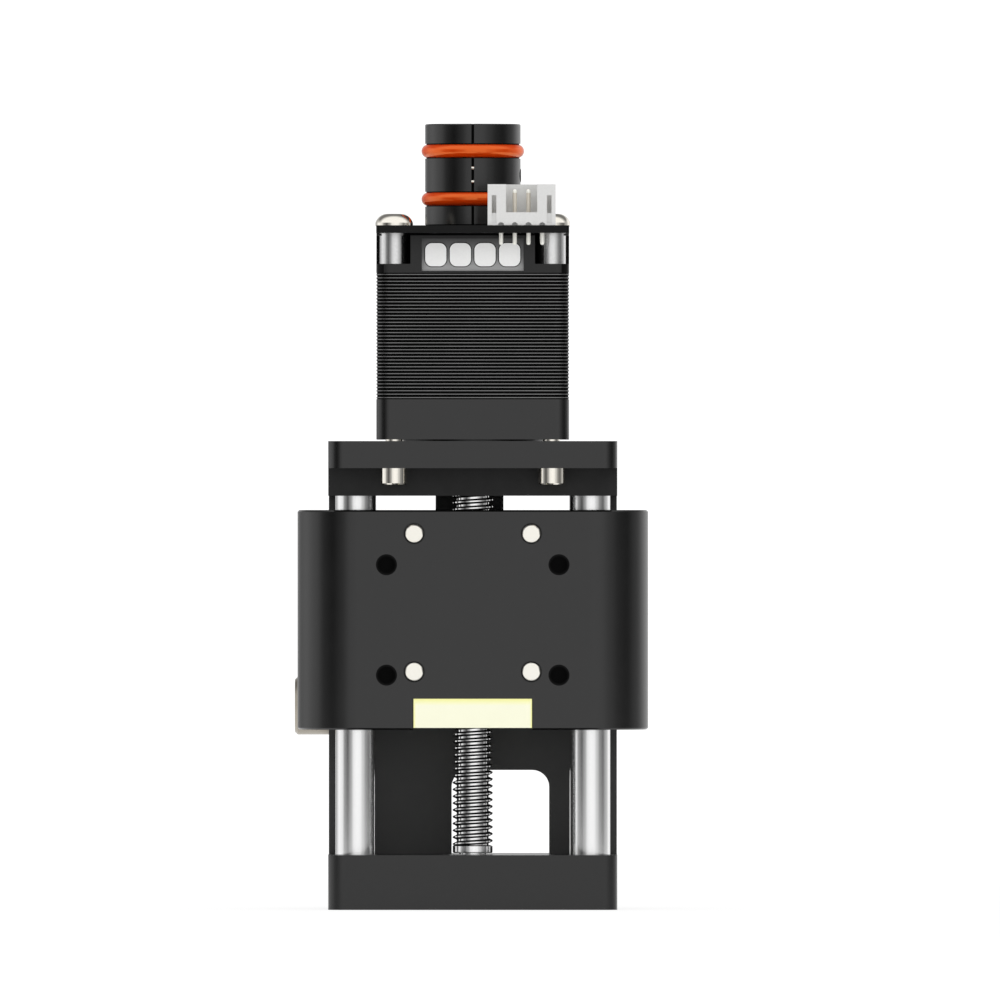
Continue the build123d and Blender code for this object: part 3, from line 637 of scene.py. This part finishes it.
def knob_shadows():
    """Painted shade in black sheets: the bottom of the knob's slit, a thin ring on both sides
    of each grip ring and the knob's foot."""
    low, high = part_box("hand_knob")
    knob_r = (high.x - low.x) / 2
    bm = bmesh.new()
    x, y0, y1 = SLIT_HALF, low.y + SLIT_SHADE_FROM, low.y + SLIT_DEPTH
    upright_box(bm, ((-x, y0, low.z), (x, y0, low.z), (x, y1, low.z), (-x, y1, low.z)),
                high.z - 0.02 * MM)
    slit_shade = mesh_object("knob_slit_painted_shade", bm, materials["hole_black"], "screw")
    for name in ("upper_grip_ring", "lower_grip_ring"):
        ring_low, ring_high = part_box(name)
        for side, z in (("over", ring_high.z), ("under", ring_low.z)):
            ring_shade = annulus(f"{name}_lip_{side}", RING_SEAT_R, knob_r - RING_SHADE_INSET, z - RING_SHADE_HALF,
                          z + RING_SHADE_HALF, materials["hole_black"], "screw")
    foot = annulus("knob_foot_painted_shade", KNOB_FOOT_R, knob_r - KNOB_FOOT_INSET, low.z - KNOB_FOOT_BELOW,
                   low.z + 0.01 * MM, materials["hole_black"], "screw")


def cap_strips():
    """Thin dark strips along the rear cap's left and right sides, under the board: painted shade."""
    low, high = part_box("motor_rear_cap")
    bm = bmesh.new()
    top = high.z - 0.01 * MM
    front, back = low.y + MOTOR_CORNER_R, high.y - MOTOR_CORNER_R
    for outer, inner in ((low.x + STRIP_INSET, low.x + STRIP_INSET + STRIP_WIDTH),
                         (high.x - STRIP_INSET, high.x - STRIP_INSET - STRIP_WIDTH)):
        upright_box(bm, [(x, y, top - STRIP_HEIGHT) for x, y in
                         ((outer, front), (inner, front), (inner, back), (outer, back))], top)
    strips = mesh_object("rear_cap_painted_shade_strips", bm, materials["cast_black"], "frame")


def blanking_ends():
    """The blanking screws with chamfered ends and a dark gap round each."""
    low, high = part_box("blanking_screws")
    bm = bmesh.new()
    for x in (low.x + BLANKING_R, high.x - BLANKING_R):
        for z in (low.z + BLANKING_R, high.z - BLANKING_R):
            r = BLANKING_R - BLANKING_GAP
            join_closed(bm, [ring_facing_front(bm, x, y, z, radius)
                             for y, radius in ((low.y, BLANKING_R - 0.3 * MM),
                                               (low.y + BLANKING_CHAMFER, r), (high.y, r))])
    screws = mesh_object("blanking_screws_chamfered", bm, materials["nickel_ends"], "slider", 20)
    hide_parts("blanking_screws")


def slit_pins():
    """Two bright pins that cross the knob's slit."""
    low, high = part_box("hand_knob")
    bm = bmesh.new()
    for z in SLIT_PIN_LEVELS:
        join_closed(bm, [ring_facing_side(bm, x, low.y + SLIT_PIN_DEPTH, z, SLIT_PIN_R)
                         for x in (-SLIT_PIN_HALF, SLIT_PIN_HALF)])
    pins = mesh_object("knob_slit_pins", bm, materials["nickel_ends"], "screw")


threaded_screw()
grip_rings()
knob_shadows()
slit_pins()
cap_strips()
blanking_ends()
guide_rods()
laminated_stack()
header_pins()
tapped_holes()


# Studio
def studio_world():
    """A soft white surround. Gloss shows it with two dark flags before the object, a ceiling that
    is dim behind, and a dark underside."""
    world = bpy.data.worlds.new("studio")
    bpy.context.scene.world = world
    world.use_nodes = True
    tree = world.node_tree
    tree.nodes.clear()
    place = add(tree, "ShaderNodeTexCoord")
    split = add(tree, "ShaderNodeSeparateXYZ")
    tree.links.new(place.outputs["Generated"], split.inputs[0])
    front = math_node(tree, "MULTIPLY", split.outputs["Y"], -1.0)
    angle = math_node(tree, "ARCTAN2", split.outputs["X"], front)
    turn = math_node(tree, "ADD", math_node(tree, "DIVIDE", angle, 2 * math.pi), 0.5)
    around = ramp(tree, turn, [((a + 180) / 360, grey(v)) for a, v in FLAG_STOPS], "EASE")
    behind = half_scale(tree, split.outputs["Y"])
    overhead = ramp(tree, behind, [(0.5, grey(1.0)), (0.7, grey(BEHIND_LEVEL))])
    height = half_scale(tree, split.outputs["Z"])
    up = ramp(tree, height, [(0.66, grey(0)), (0.76, grey(1))])
    down = ramp(tree, height, [(0.28, grey(1)), (0.38, grey(0))])
    above = add(tree, "ShaderNodeMixRGB")
    tree.links.new(up, above.inputs["Fac"])
    tree.links.new(around, above.inputs["Color1"])
    tree.links.new(overhead, above.inputs["Color2"])
    mix = add(tree, "ShaderNodeMixRGB")
    mix.inputs["Color2"].default_value = (*grey(UNDER_LEVEL), 1)
    tree.links.new(down, mix.inputs["Fac"])
    tree.links.new(above.outputs["Color"], mix.inputs["Color1"])
    flags = add(tree, "ShaderNodeBackground")
    tree.links.new(mix.outputs["Color"], flags.inputs["Color"])
    soft = add(tree, "ShaderNodeBackground")
    soft.inputs["Color"].default_value = (1, 1, 1, 1)
    soft.inputs["Strength"].default_value = SOFT_LEVEL
    path = add(tree, "ShaderNodeLightPath")
    shader = add(tree, "ShaderNodeMixShader")
    tree.links.new(path.outputs["Is Glossy Ray"], shader.inputs["Fac"])
    tree.links.new(soft.outputs[0], shader.inputs[1])
    tree.links.new(flags.outputs[0], shader.inputs[2])
    output = add(tree, "ShaderNodeOutputWorld")
    tree.links.new(shader.outputs[0], output.inputs["Surface"])


def floor():
    """A pale disc that glows a little for the camera and keeps the object's shadow."""
    bm = bmesh.new()
    bm.faces.new(add_ring(bm, FLOOR_R, 0, 96))
    mesh = bpy.data.meshes.new("floor")
    bm.to_mesh(mesh)
    bm.free()
    material = bpy.data.materials.new("floor_white")
    material.use_nodes = True
    tree = material.node_tree
    tree.nodes.clear()
    lit = add(tree, "ShaderNodeBsdfDiffuse")
    lit.inputs["Color"].default_value = (0.9, 0.9, 0.9, 1)
    glow = add(tree, "ShaderNodeEmission")
    glow.inputs["Strength"].default_value = FLOOR_GLOW
    path = add(tree, "ShaderNodeLightPath")
    mix = add(tree, "ShaderNodeMixShader")
    mirrored = math_node(tree, "ADD", path.outputs["Is Glossy Ray"],
                         path.outputs["Is Transmission Ray"])
    direct = math_node(tree, "MULTIPLY", path.outputs["Is Camera Ray"], FLOOR_CAMERA_SHARE)
    seen = math_node(tree, "ADD", direct, math_node(tree, "MULTIPLY", mirrored, FLOOR_MIRROR_SHARE))
    tree.links.new(seen, mix.inputs["Fac"])
    tree.links.new(lit.outputs[0], mix.inputs[1])
    tree.links.new(glow.outputs[0], mix.inputs[2])
    output = add(tree, "ShaderNodeOutputMaterial")
    tree.links.new(mix.outputs[0], output.inputs["Surface"])
    mesh.materials.append(material)
    ground = bpy.data.objects.new("floor", mesh)
    ground.location.z = -FLOOR_BELOW
    bpy.context.scene.collection.objects.link(ground)


def camera():
    data = bpy.data.cameras.new("camera")
    data.type = "PERSP"
    data.sensor_width = SENSOR
    data.lens = SENSOR * CAMERA_DISTANCE / (PIXELS / PIXELS_PER_MM * MM)
    data.clip_start = 0.1
    data.clip_end = 50
    piece = bpy.data.objects.new("camera", data)
    piece.location = Vector((VIEW_X, -CAMERA_DISTANCE, VIEW_Z))
    piece.rotation_euler = (math.pi / 2, 0, 0)
    bpy.context.scene.collection.objects.link(piece)
    bpy.context.scene.camera = piece


studio_world()
floor()
camera()
bpy.context.scene.view_settings.view_transform = "Standard"
